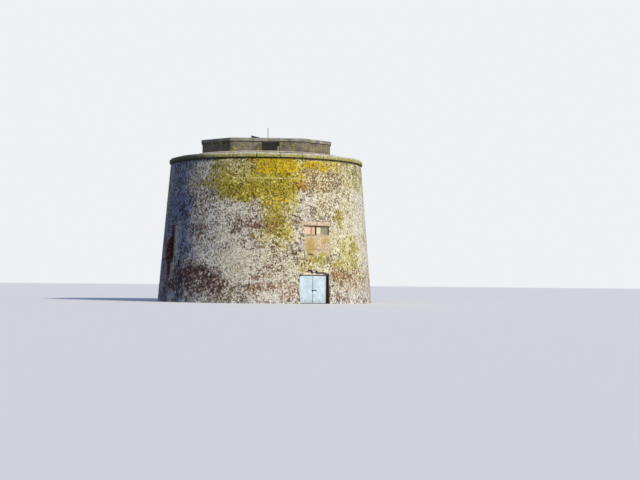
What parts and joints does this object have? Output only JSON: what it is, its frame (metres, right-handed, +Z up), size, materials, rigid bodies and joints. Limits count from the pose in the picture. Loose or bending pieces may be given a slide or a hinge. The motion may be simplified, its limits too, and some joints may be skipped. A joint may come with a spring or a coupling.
{
  "type": "martello tower",
  "caption": "Round brick gun tower with a battered rendered wall, stone coping, vaulted inside, a walled-up entrance, steel double doors and a low concrete house on its roof.",
  "frame": {"origin": "centre of the wall's round foot, at ground level", "axes": "+Z up the tower's axis; the walled-up entrance faces -Y; +X is to the right when facing the entrance from outside"},
  "size_m": [13.7396, 13.6975, 11],
  "materials": {
    "rendered_brick": "rough",
    "limewashed_brick": "rough",
    "coping_stone": "rough",
    "lintel": "rough",
    "concrete": "rough",
    "paving": "rough",
    "old_timber": "weathered",
    "blocking_render": "rough",
    "frame_timber": "weathered",
    "pale_board": "painted",
    "door_paint": "weathered satin",
    "rusty_steel": "rusty",
    "roofing_sheet": "weathered",
    "pole_steel": "weathered"
  },
  "bodies": {
    "tower": {"central_pillar": "limewashed_brick", "coping_front": "coping_stone", "coping_rear": "coping_stone", "door_frame": "door_paint", "doorway_lintel": "lintel", "embrasure_stub": "concrete", "entrance_boards": "pale_board", "entrance_frame": "frame_timber", "entrance_infill": "blocking_render", "entrance_lintel": "lintel", "first_floor_boards": "old_timber", "first_floor_joists": "old_timber", "ground_floor": "paving", "gun_platform": "paving", "house_corner_walls": "concrete", "house_wall_front": "concrete", "house_wall_left": "concrete", "house_wall_rear": "concrete", "house_wall_right": "concrete", "lower_wall_left_front": "rendered_brick", "lower_wall_left_jamb": "rendered_brick", "lower_wall_left_rear": "rendered_brick", "lower_wall_over_doorway": "rendered_brick", "lower_wall_rear_left": "rendered_brick", "lower_wall_rear_right": "rendered_brick", "lower_wall_right_front": "rendered_brick", "lower_wall_right_jamb": "rendered_brick", "lower_wall_right_rear": "rendered_brick", "ring_vault_front": "limewashed_brick", "ring_vault_left": "limewashed_brick", "ring_vault_rear": "limewashed_brick", "ring_vault_right": "limewashed_brick", "roof_pole": "pole_steel", "roof_sheet": "roofing_sheet", "roof_slab": "concrete", "upper_wall_left_front": "rendered_brick", "upper_wall_left_jamb": "rendered_brick", "upper_wall_left_rear": "rendered_brick", "upper_wall_over_entrance": "rendered_brick", "upper_wall_rear_left": "rendered_brick", "upper_wall_rear_right": "rendered_brick", "upper_wall_right_front": "rendered_brick", "upper_wall_right_jamb": "rendered_brick", "upper_wall_right_rear": "rendered_brick", "vault_mass": "limewashed_brick"},
    "left_door_leaf": {"left_door": "door_paint", "bolt_keep": "rusty_steel"},
    "right_door_leaf": {"right_door": "door_paint", "slide_bolt": "rusty_steel"}
  },
  "joints": [
    {"name": "left_door_hinge", "type": "hinge", "parent": "tower", "child": "left_door_leaf", "pos_m": [-1.1927, -6.51347, 0.9], "axis": [0, 0, -1], "range_deg": [0, 90]},
    {"name": "right_door_hinge", "type": "hinge", "parent": "tower", "child": "right_door_leaf", "pos_m": [0.644, -6.51347, 0.9], "axis": [0, 0, 1], "range_deg": [0, 90]}
  ]
}
